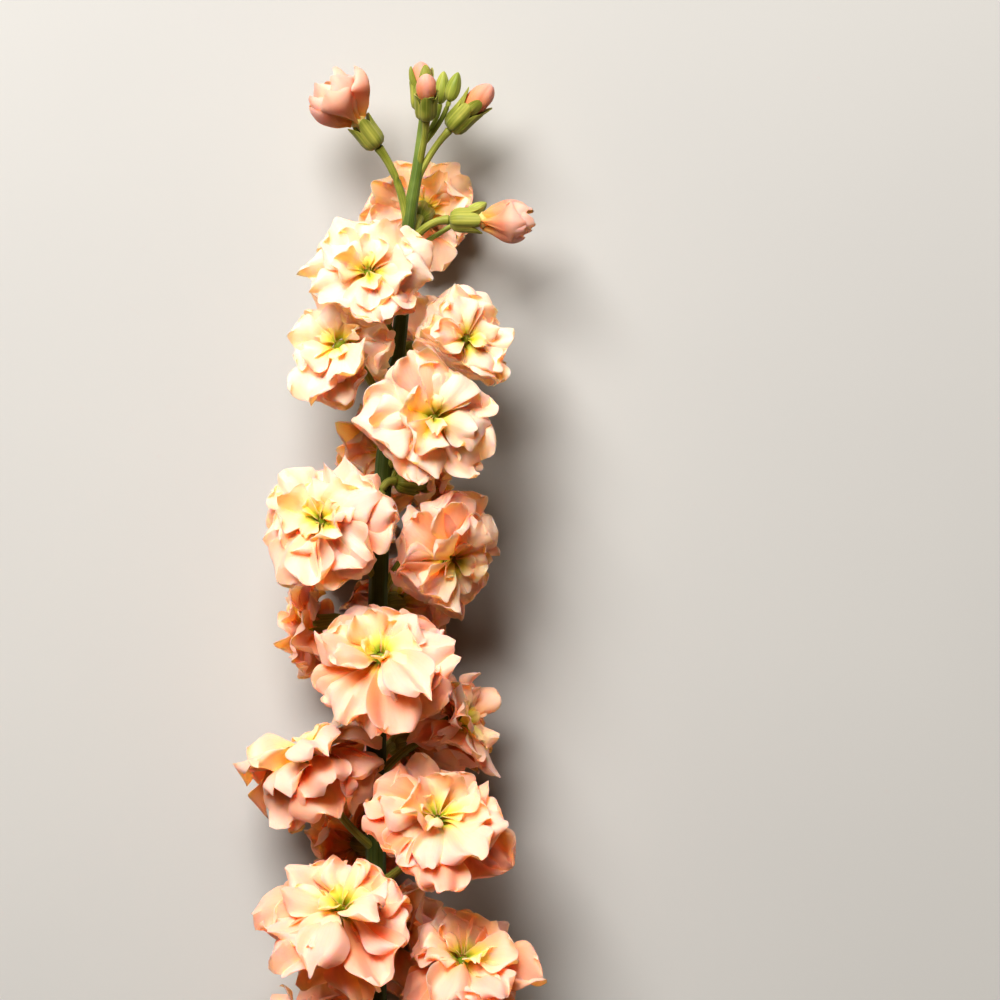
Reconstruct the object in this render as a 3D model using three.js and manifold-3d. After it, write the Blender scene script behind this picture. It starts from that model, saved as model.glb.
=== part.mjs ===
// A cut stem of double column stock, lying on a table with its tip towards +Y.
// Twenty-six double blooms and five buds stand round a green stem, each in a four-sepalled calyx on its own
// stalk, and six lance-shaped leaves grow on the bare lower stem. Millimetres, +Z up, the table at z = 0.
import * as THREE from "three";
import { mergeVertices } from "three/addons/utils/BufferGeometryUtils.js";
import Module from "manifold-3d";

const wasm = await Module();
wasm.setup();

// Driving dimensions
const MM_PER_PIXEL = 0.24; // scale of the reference picture: a bloom of 150 pixels is 36 mm across
const AXIS_PIXEL = [380, 1000]; // the picture's point that lies at x = 0, y = 0 of the layout
const AXIS_HEIGHT = 19.5; // the stem's axis above the table where the blooms stand
const FRAME_ORIGIN = new THREE.Vector3(0.2, -0.3, 0); // middle of the whole part's box, in the layout
const CLEARANCE = 0.35; // gap between one piece and the next
const PETAL_THICK = 0.8;
const LEAF_THICK = 1.0;
const EYE_HEIGHT = 10; // from the foot of a calyx to the eye of its bloom
const STALK_RADIUS = 0.95;
const BUD_STALK_RADIUS = 0.8;
const CALYX_BORE = 1.85;
const CALYX_TOP = 7.2; // where the neck of a bloom leaves its calyx, from the calyx's foot
const NECK_RADIUS = 1.15;
const NECK_FOOT = 1.9;
const FIRST_WHORL = 8.2; // height of the outermost whorl's hub above the calyx's foot
const CLAW_WIDTH = 0.14; // a petal's width at its root, as a share of its limb's
const HUB_RISE = 1.4; // from the hub of a whorl to the point that closes it
const FULL_CALYX = 2.9; // radius of a bud whose calyx has the full size
const FLOOR_SOFTNESS = 1.2; // depth over which a petal flattens as it meets the table
const FLAT_SPOT = 0.25; // depth that the table takes off the lowest petals
const CROWD_SOFTNESS = 2.5; // depth over which a petal bends away from its neighbour

// The stem's axis: pixel of the picture, height above the table in mm, radius in mm, from the tip down.
const STEM_ROUTE = [
  { pixel: [424, 108], height: 21, radius: 0.8 },
  { pixel: [418, 165], height: 20.5, radius: 1.35 },
  { pixel: [410, 215], height: 20, radius: 1.6 },
  { pixel: [400, 330], height: AXIS_HEIGHT, radius: 1.75 },
  { pixel: [384, 465], height: AXIS_HEIGHT, radius: 2.1 },
  { pixel: [378, 600], height: AXIS_HEIGHT, radius: 2.3 },
  { pixel: [376, 800], height: AXIS_HEIGHT, radius: 2.4 },
  { pixel: [376, 1000], height: AXIS_HEIGHT, radius: 2.5 },
  { pixel: [378, 1200], height: 17, radius: 2.6 },
  { pixel: [380, 1500], height: 10, radius: 2.75 },
  { pixel: [379, 1940], height: 3.0, radius: 3.0 },
];

// Each bloom: the pixel of its eye, the eye's distance in front of the stem's axis, the way it faces
// (x right, y to the tip, z up from the table), its radius, how far its outer petals fold back in degrees,
// the turn of its first petal in degrees, how far below its foot its stalk leaves the stem, and, where it is
// crowded, a share that its petals are narrowed to.
const BLOOMS = [
  ["bloom_01", [424, 208], -14, [0.12, 0.25, -0.95], 14, 4, 20, 9],
  ["bloom_02", [370, 274], 19, [-0.1, 0.2, 0.97], 16, 8, 12, 17],
  ["bloom_03", [466, 340], 14, [0.45, 0.1, 0.85], 15, 10, 40, 12, 0.94],
  ["bloom_04", [339, 346], 12, [-0.42, 0.38, 0.82], 16, 10, 50, 14],
  ["bloom_05", [434, 418], 22, [0.22, 0.1, 0.97], 18, 2, 5, 12, 0.93],
  ["bloom_06", [432, 487], -3, [0.62, -0.1, -0.3], 14.5, 8, 55, 10, 0.96],
  ["bloom_07", [322, 520], 20, [-0.4, 0.3, 0.87], 19.5, 6, 30, 12],
  ["bloom_08", [452, 558], 13, [0.5, -0.3, 0.75], 18, 14, 0, 14],
  ["bloom_09", [306, 628], -5, [-0.85, -0.1, -0.3], 15, 8, 15, 10],
  ["bloom_10", [382, 655], 23, [0, 0.55, 0.83], 20, 4, 60, 12, 0.95],
  ["bloom_11", [462, 722], 7, [0.8, 0.35, 0.35], 17, 14, 35, 10, 0.95],
  ["bloom_12", [309, 754], 8, [-0.42, 0.86, 0.05], 22, 40, 10, 14, 0.9],
  ["bloom_13", [437, 815], 23, [0.2, 0.5, 0.84], 20.5, 5, 48, 12, 0.88],
  ["bloom_14", [343, 905], 23, [-0.12, 0.66, 0.74], 22, 10, 25, 12, 0.88],
  ["bloom_15", [464, 955], 21, [0.18, 0.65, 0.74], 19.5, 4, 50, 12, 0.94],
  ["bloom_16", [356, 845], -14, [-0.4, 0.05, -0.9], 15.5, 4, 33, 10],
  ["bloom_17", [386, 452], -14, [-0.25, 0.1, -0.95], 15, 4, 66, 10, 0.84],
  ["bloom_18", [398, 604], -15, [0.35, 0, -0.93], 16, 4, 8, 10],
  ["bloom_19", [424, 352], -13, [0.5, 0, -0.85], 14.5, 4, 50, 10],
  ["bloom_20", [304, 1034], 8, [-0.75, 0.3, 0.45], 18, 10, 5, 10],
  ["bloom_21", [410, 745], -15, [0.45, 0.05, -0.9], 16.5, 4, 28, 10],
  ["bloom_22", [392, 935], -15, [0.2, 0.1, -0.95], 17, 4, 44, 10],
  ["bloom_23", [340, 540], -13, [-0.55, 0.05, -0.8], 15.5, 4, 60, 10],
  ["bloom_24", [430, 1070], 20, [0.35, 0.4, 0.8], 19, 8, 18, 12, 0.96],
  ["bloom_25", [352, 1125], 19, [-0.35, 0.35, 0.85], 18.5, 10, 52, 12, 0.95],
  ["bloom_26", [380, 1085], -15, [-0.25, 0.1, -0.95], 17, 4, 38, 10],
].map(([name, eye, front, faces, radius, fold, turn, drop, width = 1]) => (
  { name, eye, front, faces, radius, fold, turn, drop, width, open: 1 }
));

// Half-open blooms near the tip, whose petals are still cupped: the same, with the share of a full bloom's
// spread in place of the fold.
const HALF_OPEN = [
  ["bud_left", [354, 116], 3, [-0.6, 0.78, 0.2], 11, 0.56, 250, 20, 0.75],
  ["bud_right", [490, 221], 4, [0.99, -0.02, 0.1], 9.5, 0.4, 30, 7, 0.75],
].map(([name, eye, front, faces, radius, open, turn, drop, width]) => (
  { name, eye, front, faces, radius, fold: 0, turn, drop, width, open }
));

// Closed buds of the tip, with a coloured point that stands out of the calyx: pixel of the calyx's foot,
// distance in front of the axis, direction, radius, length and drop of the stalk.
const TIP_BUDS = [
  ["bud_tip_1", [422, 112], -1.5, [-0.02, 1, -0.15], 2.9, 6.5, 11],
  ["bud_tip_2", [426, 122], 4, [0.02, 0.9, 0.45], 2.9, 6.5, 11],
  ["bud_tip_3", [449, 131], 1, [0.68, 0.7, 0.2], 3.4, 7.5, 13],
].map(([name, foot, front, faces, radius, length, drop]) => (
  { name, foot, front, faces, radius, length, drop }
));

// Small buds that are still all green: foot, way they point, radius and length.
const GREEN_BUDS = [
  { foot: [440, 104], front: -2, faces: [0.12, 1, 0.1], radius: 1.8, length: 8, drop: 9 },
  { foot: [449, 102], front: 0, faces: [0.3, 0.95, 0.15], radius: 1.8, length: 7.5, drop: 11 },
  { foot: [466, 216], front: -3, faces: [0.75, 0.5, -0.1], radius: 1.7, length: 6, drop: 9 },
];

// Leaves: pixel height on the stem, the side they leave it on (degrees round the stem from +X to +Z),
// length, half width, and the angle between leaf and stem.
const LEAVES = [
  { name: "leaf_1", pixelY: 1284, side: 14, length: 62, half: 6.5, lean: 34 },
  { name: "leaf_2", pixelY: 1345, side: 152, length: 72, half: 7.5, lean: 36 },
  { name: "leaf_3", pixelY: 1440, side: 75, length: 66, half: 7, lean: 30 },
  { name: "leaf_4", pixelY: 1535, side: 8, length: 82, half: 8.5, lean: 38 },
  { name: "leaf_5", pixelY: 1640, side: 168, length: 86, half: 9, lean: 36 },
  { name: "leaf_6", pixelY: 1745, side: 40, length: 78, half: 8.5, lean: 34 },
];

// The whorls of a bloom, from the outside in. lift is the angle between limb and bloom axis in degrees,
// reach and half are shares of the bloom's radius, curl bends the tip back and cup hollows the petal.
// layer is how far neighbours of one whorl lie over and under each other, rise is where they leave the boss,
// and across is how many points each row of a petal has.
const asWhorl = ([count, lift, reach, half, curl, cup, wave, layer, rise, hub, across]) => (
  { count, lift, reach, half, curl, cup, wave, layer, rise, hub, across }
);
const WHORLS = [
  [6, 106, 0.98, 0.34, 26, -0.2, 0.1, 8, 0, 2.3, [2, 3, 4, 3]],
  [6, 76, 0.82, 0.29, 24, 0, 0.08, 8, 1.1, 1.9, [2, 3, 3]],
  [3, 46, 0.4, 0.16, 30, 0.15, 0.05, 0, 2.2, 1.3, [2, 3]],
].map(asWhorl);
const HIDDEN_WHORLS = [
  [6, 106, 0.98, 0.34, 26, -0.2, 0.1, 8, 0, 2.3, [2, 3, 3]],
  [4, 76, 0.8, 0.34, 24, 0, 0.08, 0, 1.1, 1.8, [2, 3, 3]],
].map(asWhorl);
const HALF_OPEN_WHORLS = [
  [5, 108, 1.2, 0.34, -74, 0.4, 0.03, 0, 0, 2.3, [2, 3, 3, 3]],
  [3, 66, 1.15, 0.28, -56, 0.3, 0.05, 0, 0.9, 1.6, [2, 3, 3]],
].map(asWhorl);
const OUTER_GROWTH = 0.5; // how much longer the petals of a bloom's open side grow than those by the stem

const RADIAN = Math.PI / 180;
const UP_STEM = new THREE.Vector3(0, 1, 0);
const UP = new THREE.Vector3(0, 0, 1);

// A number from 0 to 1 that depends only on its two seeds.
function chance(seed, k) {
  const x = Math.sin(seed * 12.9898 + k * 78.233) * 43758.5453;
  return x - Math.floor(x);
}

function smooth(x) {
  const t = Math.min(1, Math.max(0, x));
  return t * t * (3 - 2 * t);
}

// A pixel of the picture and a height above the table, as a point of the part.
function place(pixel, height) {
  const x = (pixel[0] - AXIS_PIXEL[0]) * MM_PER_PIXEL;
  const y = (AXIS_PIXEL[1] - pixel[1]) * MM_PER_PIXEL;
  return new THREE.Vector3(x, y, height);
}

function solidFrom(points, faces) {
  const geometry = new THREE.BufferGeometry();
  const position = new THREE.BufferAttribute(new Float32Array(points.flatMap((p) => [p.x, p.y, p.z])), 3);
  geometry.setAttribute("position", position);
  geometry.setIndex(faces.flat());
  const merged = mergeVertices(geometry, 1e-4);
  const mesh = new wasm.Mesh({
    numProp: 3,
    vertProperties: merged.attributes.position.array,
    triVerts: new Uint32Array(merged.index.array),
  });
  mesh.merge();
  const solid = new wasm.Manifold(mesh);
  return solid.volume() >= 0 ? solid : solidFrom(points, faces.map(([a, b, c]) => [a, c, b]));
}

// The triangles between two rows of points, given by their numbers. A closed row returns to its first point.
function stitch(from, to, closed) {
  const spanA = closed ? from.length : from.length - 1;
  const spanB = closed ? to.length : to.length - 1;
  const faces = [];
  let a = 0;
  let b = 0;
  while (a < spanA || b < spanB) {
    const low = from[a % from.length];
    const high = to[b % to.length];
    if (a >= spanA || (b < spanB && (b + 1) / spanB <= (a + 1) / spanA)) {
      faces.push([low, to[(b + 1) % to.length], high]);
      b++;
    } else {
      faces.push([low, from[(a + 1) % from.length], high]);
      a++;
    }
  }
  return faces;
}

// A closed fan between a point and a ring of points, given by their numbers.
function fan(point, row) {
  return row.map((at, i) => [point, at, row[(i + 1) % row.length]]);
}

// Adds points to a list and returns their numbers.
function addTo(points, more) {
  return more.map((point) => points.push(point) - 1);
}

// A closed skin through rings of points, closed by a point at each end.
function skin(rings, first, last) {
  const points = [];
  const rows = rings.map((row) => addTo(points, row));
  const [foot, head] = addTo(points, [first, last]);
  const faces = [...fan(foot, rows[0].toReversed()), ...fan(head, rows[rows.length - 1])];
  for (let k = 0; k + 1 < rows.length; k++) faces.push(...stitch(rows[k], rows[k + 1], true));
  return solidFrom(points, faces);
}

// Two directions across an axis: across is as near to the stem's own direction as it can be.
function crossFrame(axis) {
  const helper = Math.abs(axis.y) > 0.93 ? UP : UP_STEM;
  const up = helper.clone().addScaledVector(axis, -helper.dot(axis)).normalize();
  return { up, side: axis.clone().cross(up) };
}

function ring(centre, up, side, radius, sides, lift = () => null) {
  return Array.from({ length: sides }, (_, i) => {
    const turn = (2 * Math.PI * i) / sides;
    const point = centre.clone();
    point.addScaledVector(up, radius * Math.cos(turn)).addScaledVector(side, radius * Math.sin(turn));
    const raised = lift(turn);
    return raised ? point.add(raised) : point;
  });
}

// Rings round a line of points, with a radius at each point.
function tubeRings(points, radii, sides) {
  return points.map((point, k) => {
    const ahead = points[Math.min(k + 1, points.length - 1)];
    const behind = points[Math.max(k - 1, 0)];
    const { up, side } = crossFrame(ahead.clone().sub(behind).normalize());
    return ring(point, up, side, radii[k], sides);
  });
}

// The stem's axis and radius, from the tip down, as a smooth curve through its route.
const stemCurve = new THREE.CatmullRomCurve3(STEM_ROUTE.map((s) => place(s.pixel, s.height)));

function stemAt(y) {
  let low = 0;
  let high = 1;
  for (let i = 0; i < 30; i++) {
    const middle = (low + high) / 2;
    if (stemCurve.getPoint(middle).y > y) low = middle;
    else high = middle;
  }
  const along = low * (STEM_ROUTE.length - 1);
  const k = Math.min(STEM_ROUTE.length - 2, Math.floor(along));
  const radius = THREE.MathUtils.lerp(STEM_ROUTE[k].radius, STEM_ROUTE[k + 1].radius, along - k);
  return { point: stemCurve.getPoint(low), radius };
}

function mainStem(extra) {
  const steps = 15;
  const stations = Array.from({ length: steps + 1 }, (_, i) => stemAt(stemCurve.getPoint(i / steps).y));
  const points = stations.map((s) => s.point);
  return skin(tubeRings(points, stations.map((s) => s.radius + extra), 8), points[0], points[steps]);
}

// Where a bloom or bud stands: its eye, its axis, and the foot of its calyx.
function stance(flower) {
  const axis = new THREE.Vector3(...flower.faces).normalize();
  const at = flower.eye ?? flower.foot;
  const y = place(at, 0).y;
  const level = stemAt(Math.min(y, stemCurve.getPoint(0).y)).point.z;
  const spot = place(at, level + flower.front);
  const foot = flower.eye ? spot.clone().addScaledVector(axis, -EYE_HEIGHT) : spot;
  return { axis, foot, ...crossFrame(axis) };
}

// The stalk that carries a flower, from inside the stem to the flower's foot, as rings.
function stalkRings(foot, axis, drop, radius) {
  const start = stemAt(foot.y - drop).point;
  const bend = foot.clone().addScaledVector(axis, -0.45 * foot.distanceTo(start));
  bend.z = Math.max(bend.z, 3);
  const curve = new THREE.QuadraticBezierCurve3(start, bend, foot);
  const points = [0, 0.5, 1].map((t) => curve.getPoint(t));
  return { start, rings: tubeRings(points, points.map(() => radius), 4) };
}

// A stalk with its calyx, a cup of four narrow sepals. extra thickens every wall.
function stalkAndCalyx({ foot, axis, up, side }, drop, radius, size, extra) {
  const level = (a) => foot.clone().addScaledVector(axis, a * size);
  const lobes = (turn) => axis.clone().multiplyScalar(0.9 * size * Math.cos(4 * turn));
  const { start, rings } = stalkRings(foot, axis, drop, radius + extra);
  const bore = CALYX_BORE * size - extra;
  rings.push(
    ring(level(1.6), up, side, 2.5 * size + extra, 6),
    ring(level(6.2 + extra), up, side, 2.7 * size + extra, 8, lobes),
    ring(level(6 + extra), up, side, bore, 8, lobes),
  );
  return skin(rings, start, level(0.9 + 2 * extra));
}

function greenBud({ foot, axis, up, side }, bud, extra) {
  const level = (share) => foot.clone().addScaledVector(axis, share * bud.length);
  const { start, rings } = stalkRings(foot, axis, bud.drop, 0.6 + extra);
  const shape = [[0.3, 1], [0.72, 0.8]];
  rings.push(...shape.map(([share, wide]) => ring(level(share), up, side, wide * bud.radius + extra, 6)));
  return skin(rings, start, level(1).addScaledVector(axis, extra));
}

// Everything green that grew in one piece with the stem. extra fattens it, to cut room for it in the petals.
function greenBody(extra) {
  const parts = [mainStem(extra)];
  for (const flower of [...BLOOMS, ...HALF_OPEN])
    parts.push(stalkAndCalyx(stance(flower), flower.drop, STALK_RADIUS, 1, extra));
  for (const bud of TIP_BUDS)
    parts.push(stalkAndCalyx(stance(bud), bud.drop, BUD_STALK_RADIUS, bud.radius / FULL_CALYX, extra));
  for (const bud of GREEN_BUDS) parts.push(greenBud(stance(bud), bud, extra));
  return wasm.Manifold.union(parts);
}

// A petal's mid-surface, as a function of s along it (0 root, 1 tip) and w across it (-1 to 1).
// Its centre line turns from the bloom's axis to lift degrees, then curls; its outline widens to a round tip.
function petalSurface(stand, petal) {
  const steps = 24;
  const line = [{ out: petal.rootOut, along: petal.rootAlong, turn: 0 }];
  for (let i = 1; i <= steps; i++) {
    const s = (i - 0.5) / steps;
    const turn = (petal.lift * (0.55 + 0.45 * smooth(s / 0.5)) + petal.curl * s * s) * RADIAN;
    const last = line[i - 1];
    const step = petal.length / steps;
    line.push({ out: last.out + step * Math.sin(turn), along: last.along + step * Math.cos(turn), turn });
  }
  line[0].turn = line[1].turn;
  const radial = stand.up.clone().multiplyScalar(Math.cos(petal.azimuth));
  radial.addScaledVector(stand.side, Math.sin(petal.azimuth));
  const tangent = stand.axis.clone().cross(radial);
  return (s, w) => {
    const reach = s * (1 - 0.16 * w * w * s * s);
    const at = reach * steps;
    const k = Math.min(steps - 1, Math.floor(at));
    const mix = (name) => THREE.MathUtils.lerp(line[k][name], line[k + 1][name], at - k);
    const turn = mix("turn");
    const claw = CLAW_WIDTH + (1 - CLAW_WIDTH) * smooth(reach / 0.72);
    const wide = petal.half * claw * (1 - 0.15 * smooth((reach - 0.75) / 0.25));
    const bump = petal.cup * w * w + petal.wave * reach * Math.sin(w * 4 + petal.phase);
    const raise = petal.half * bump;
    const normalOut = -Math.cos(turn) * raise;
    const normalAlong = Math.sin(turn) * raise;
    const point = stand.foot.clone().addScaledVector(stand.axis, mix("along") + normalAlong);
    point.addScaledVector(radial, mix("out") + normalOut);
    return point.addScaledVector(tangent, w * wide);
  };
}

// Moves a value that passes limit back under it, the more gently the larger soft is.
function ease(value, limit, soft) {
  const start = limit - soft;
  return value <= start ? value : limit - soft * Math.exp(-(value - start) / soft);
}

// The planes that part a bloom from its neighbours: each lies where the two blooms' spheres of petals meet.
function partings(stands, i) {
  const own = stands[i];
  const found = [];
  stands.forEach((other, j) => {
    if (i === j) return;
    const apart = other.heart.clone().sub(own.heart);
    const distance = apart.length();
    if (distance > own.radius + other.radius + 8) return;
    const share = (distance * distance + own.radius ** 2 - other.radius ** 2) / (2 * distance);
    found.push({ normal: apart.divideScalar(distance), offset: share - CLEARANCE / 2 });
  });
  return found;
}

// Bends a point of a petal clear of the neighbours and of the table.
function settle(point, stand, margin) {
  for (let round = 0; round < 2; round++) {
    for (const { normal, offset } of stand.partings) {
      const along = point.clone().sub(stand.heart).dot(normal);
      const eased = ease(along, offset - margin, CROWD_SOFTNESS);
      point.addScaledVector(normal, eased - along);
    }
    point.z = -ease(-point.z, FLAT_SPOT - margin, FLOOR_SOFTNESS);
  }
  return point;
}

// The two faces of a thin blade round a mid-surface, row by row, with across[k] points in its k-th row.
function bladeFaces(surface, across, thick, settled) {
  const step = 0.02;
  return across.map((count, k) => {
    const s = k / (across.length - 1);
    const pairs = Array.from({ length: count }, (_, i) => {
      const w = -1 + (2 * i) / (count - 1);
      const at = (ahead, across) => settled(surface(THREE.MathUtils.clamp(s + ahead, 0, 1), w + across));
      const along = at(step, 0).sub(at(-step, 0));
      const over = at(0, step).sub(at(0, -step));
      const half = along.cross(over).normalize().multiplyScalar(thick / 2);
      const middle = settled(surface(s, w));
      return { upper: middle.clone().add(half), lower: middle.sub(half) };
    });
    return { upper: pairs.map((p) => p.upper), lower: pairs.map((p) => p.lower) };
  });
}

// The triangles of a blade: both faces and the rim down its two sides and round its tip. The root stays open.
function bladeTriangles(upper, lower) {
  const faces = [];
  const last = upper.length - 1;
  for (let k = 0; k < last; k++) {
    faces.push(...stitch(upper[k], upper[k + 1], false));
    faces.push(...stitch(lower[k], lower[k + 1], false).map(([a, b, c]) => [a, c, b]));
  }
  const right = (rows) => rows.map((row) => row[row.length - 1]).toReversed();
  const edge = (rows) => [...rows.map((row) => row[0]), ...rows[last].slice(1, -1), ...right(rows)];
  const over = edge(upper);
  const under = edge(lower);
  for (let i = 0; i + 1 < over.length; i++)
    faces.push([over[i], over[i + 1], under[i + 1]], [over[i], under[i + 1], under[i]]);
  return faces;
}

// A closed blade with a root of its own.
function blade(surface, across, thick, settled) {
  const points = [];
  const rows = bladeFaces(surface, across, thick, settled);
  const upper = rows.map((row) => addTo(points, row.upper));
  const lower = rows.map((row) => addTo(points, row.lower));
  const faces = bladeTriangles(upper, lower);
  faces.push(...stitch(lower[0], upper[0], false));
  return solidFrom(points, faces);
}

// One whorl in a single skin: its petals are lobes that leave a small hub side by side.
function whorlSolid(stand, whorl, order, settled) {
  const petals = whorlPetals(stand, whorl, order);
  const points = [];
  const level = (a) => stand.foot.clone().addScaledVector(stand.axis, a);
  const rise = FIRST_WHORL + whorl.rise;
  const turn = 0.55 * whorl.lift * stand.open * RADIAN;
  const corner = (side) => petals.map(({ azimuth }, k) => {
    const next = k + 1 < petals.length ? petals[k + 1].azimuth : petals[0].azimuth + 2 * Math.PI;
    const middle = (azimuth + next) / 2;
    const radial = stand.up.clone().multiplyScalar(Math.cos(middle));
    radial.addScaledVector(stand.side, Math.sin(middle));
    const out = whorl.hub - (side * PETAL_THICK * Math.cos(turn)) / 2;
    return level(rise + (side * PETAL_THICK * Math.sin(turn)) / 2).addScaledVector(radial, out);
  });
  const hubUpper = addTo(points, corner(1));
  const hubLower = addTo(points, corner(-1));
  const faces = [];
  petals.forEach((petal, k) => {
    const before = (k + petals.length - 1) % petals.length;
    const rows = bladeFaces(petalSurface(stand, petal), petal.across, PETAL_THICK, settled).slice(1);
    const upper = [[hubUpper[before], hubUpper[k]], ...rows.map((row) => addTo(points, row.upper))];
    const lower = [[hubLower[before], hubLower[k]], ...rows.map((row) => addTo(points, row.lower))];
    faces.push(...bladeTriangles(upper, lower));
  });
  const [head] = addTo(points, [level(rise + HUB_RISE)]);
  faces.push(...fan(head, hubUpper.toReversed()));
  if (order === 0) {
    const neck = addTo(points, ring(level(CALYX_TOP), stand.up, stand.side, NECK_RADIUS, 5));
    const [foot] = addTo(points, [level(NECK_FOOT)]);
    faces.push(...stitch(hubLower, neck, true), ...fan(foot, neck));
  } else {
    const [foot] = addTo(points, [level(rise - HUB_RISE)]);
    faces.push(...fan(foot, hubLower));
  }
  return solidFrom(points, faces);
}

// All the petals of one whorl.
function whorlPetals(stand, whorl, order) {
  const stray = stand.open ** 1.5; // how much the petals of one whorl differ: less in a half-open bloom
  return Array.from({ length: whorl.count }, (_, k) => {
    const draw = (n) => chance(stand.seed + 17 * order, 10 * k + n);
    const azimuth = stand.turn + (2 * Math.PI * (k + 0.5 * order + 0.34 * (draw(1) - 0.5))) / whorl.count;
    const radialUp = stand.up.z * Math.cos(azimuth) + stand.side.z * Math.sin(azimuth);
    const outward = 1 + OUTER_GROWTH * radialUp * stand.axis.z;
    const odd = k === whorl.count - 1 && whorl.count % 2 === 1;
    const layer = odd ? 0 : whorl.layer * (k % 2 === 1 ? 1 : -1);
    return {
      azimuth,
      length: whorl.reach * stand.radius * (0.99 + 0.28 * stray * (draw(2) - 0.5)) * outward,
      half: whorl.half * stand.width * stand.radius * (0.85 + 0.3 * draw(3)),
      lift: (whorl.lift + stand.fold * (1 - 0.4 * order) + layer + 22 * (draw(4) - 0.5)) * stand.open,
      curl: whorl.curl * (1 + 1.2 * stray * (draw(5) - 0.5)),
      cup: whorl.cup + 0.4 * stray * (draw(6) - 0.5),
      wave: whorl.wave,
      phase: 2 * Math.PI * draw(7),
      rootOut: whorl.hub,
      rootAlong: FIRST_WHORL + whorl.rise,
      across: whorl.across,
    };
  });
}

function largestBody(solid) {
  const bodies = solid.decompose();
  return bodies.reduce((best, body) => (body.volume() > best.volume() ? body : best));
}

// One bloom: its petals fused to their boss, bent and trimmed clear of neighbours, table and stalks.
function bloom(stand, whorls, fatStem) {
  const settled = (point) => settle(point, stand, PETAL_THICK / 2 + 0.1);
  let solid = wasm.Manifold.union(whorls.map((whorl, order) => whorlSolid(stand, whorl, order, settled)));
  for (const { normal, offset } of stand.partings) {
    const inward = normal.clone().negate();
    solid = solid.trimByPlane(inward.toArray(), inward.dot(stand.heart) - offset);
  }
  solid = solid.trimByPlane([0, 0, 1], 0);
  return largestBody(solid.subtract(fatStem));
}

// The coloured point of a closed bud: a blunt drop in its calyx.
function budPoint(stand, bud) {
  const size = bud.radius / FULL_CALYX;
  const level = (a) => stand.foot.clone().addScaledVector(stand.axis, a * size);
  const shape = [[6.6, 1.2], [8, 2.4], [8 + 0.4 * bud.length, 2.1]];
  const rings = shape.map(([a, wide]) => ring(level(a), stand.up, stand.side, wide * size, 7));
  return skin(rings, level(1.9), level(8 + 0.65 * bud.length));
}

// A lance-shaped leaf that arches away from the stem.
function leaf(spec) {
  const y = place([0, spec.pixelY], 0).y;
  const { point, radius } = stemAt(y);
  const out = new THREE.Vector3(Math.cos(spec.side * RADIAN), 0, Math.sin(spec.side * RADIAN));
  const flat = UP_STEM.clone().cross(out).normalize();
  const root = point.clone().addScaledVector(out, radius + CLEARANCE);
  const surface = (s, w) => {
    const lean = spec.lean * RADIAN * (0.55 + 0.75 * s);
    const bulge = Math.sin(Math.PI * Math.pow(s, 0.8) * 0.93 + 0.05) ** 0.9;
    const half = spec.half * (0.16 + 0.84 * bulge);
    const centre = root.clone().addScaledVector(UP_STEM, spec.length * s * Math.cos(lean));
    centre.addScaledVector(out, spec.length * s * Math.sin(lean));
    const fold = half * (0.28 * w * w + 0.12 * Math.sin(9 * s + 2.2 * w));
    const inward = UP_STEM.clone().multiplyScalar(Math.sin(lean)).addScaledVector(out, -Math.cos(lean));
    centre.addScaledVector(inward, fold * smooth(s / 0.2));
    return centre.addScaledVector(flat, w * half);
  };
  const settled = (p) => {
    p.z = -ease(-p.z, -LEAF_THICK / 2 - 0.1, FLOOR_SOFTNESS);
    return p;
  };
  return blade(surface, [2, 3, 5, 5, 5, 3, 2], LEAF_THICK, settled);
}

function meshFrom(name, solid, material) {
  const { vertProperties, triVerts, numProp } = solid.getMesh();
  const positions = new Float32Array((vertProperties.length / numProp) * 3);
  for (let i = 0; i * numProp < vertProperties.length; i++)
    positions.set(vertProperties.subarray(i * numProp, i * numProp + 3), i * 3);
  const geometry = new THREE.BufferGeometry();
  geometry.setAttribute("position", new THREE.BufferAttribute(positions, 3));
  geometry.setIndex(new THREE.BufferAttribute(triVerts, 1));
  geometry.computeVertexNormals();
  const mesh = new THREE.Mesh(geometry, material);
  mesh.name = name;
  return mesh;
}

const petalMaterial = new THREE.MeshStandardMaterial({ color: 0xf6bf9c, roughness: 0.6, metalness: 0 });
const budMaterial = new THREE.MeshStandardMaterial({ color: 0xee9f88, roughness: 0.6, metalness: 0 });
const stemMaterial = new THREE.MeshStandardMaterial({ color: 0x6f9a4a, roughness: 0.55, metalness: 0 });
const leafMaterial = new THREE.MeshStandardMaterial({ color: 0x7f9a78, roughness: 0.75, metalness: 0 });

const stands = [...BLOOMS, ...HALF_OPEN].map((flower, i) => {
  const stand = stance(flower);
  const heart = stand.foot.clone().addScaledVector(stand.axis, EYE_HEIGHT - 2);
  return { ...flower, ...stand, heart, turn: flower.turn * RADIAN, seed: i + 1 };
});
stands.forEach((stand, i) => {
  stand.partings = partings(stands, i);
});

// A bloom that faces the table has fewer petals.
function whorlsOf(stand) {
  if (stand.open < 1) return HALF_OPEN_WHORLS;
  return stand.axis.z < 0 ? HIDDEN_WHORLS : WHORLS;
}

const fatStem = greenBody(CLEARANCE);
const stock = new THREE.Group();
stock.add(meshFrom("stem", greenBody(0), stemMaterial));
for (const stand of stands) {
  const material = stand.open < 1 ? budMaterial : petalMaterial;
  stock.add(meshFrom(stand.name, bloom(stand, whorlsOf(stand), fatStem), material));
}
for (const bud of TIP_BUDS) {
  const point = budPoint(stance(bud), bud).subtract(fatStem);
  stock.add(meshFrom(bud.name, largestBody(point), budMaterial));
}
for (const spec of LEAVES) {
  const trimmed = leaf(spec).subtract(fatStem);
  stock.add(meshFrom(spec.name, largestBody(trimmed), leafMaterial));
}
stock.position.copy(FRAME_ORIGIN).negate();

export default stock;
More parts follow.
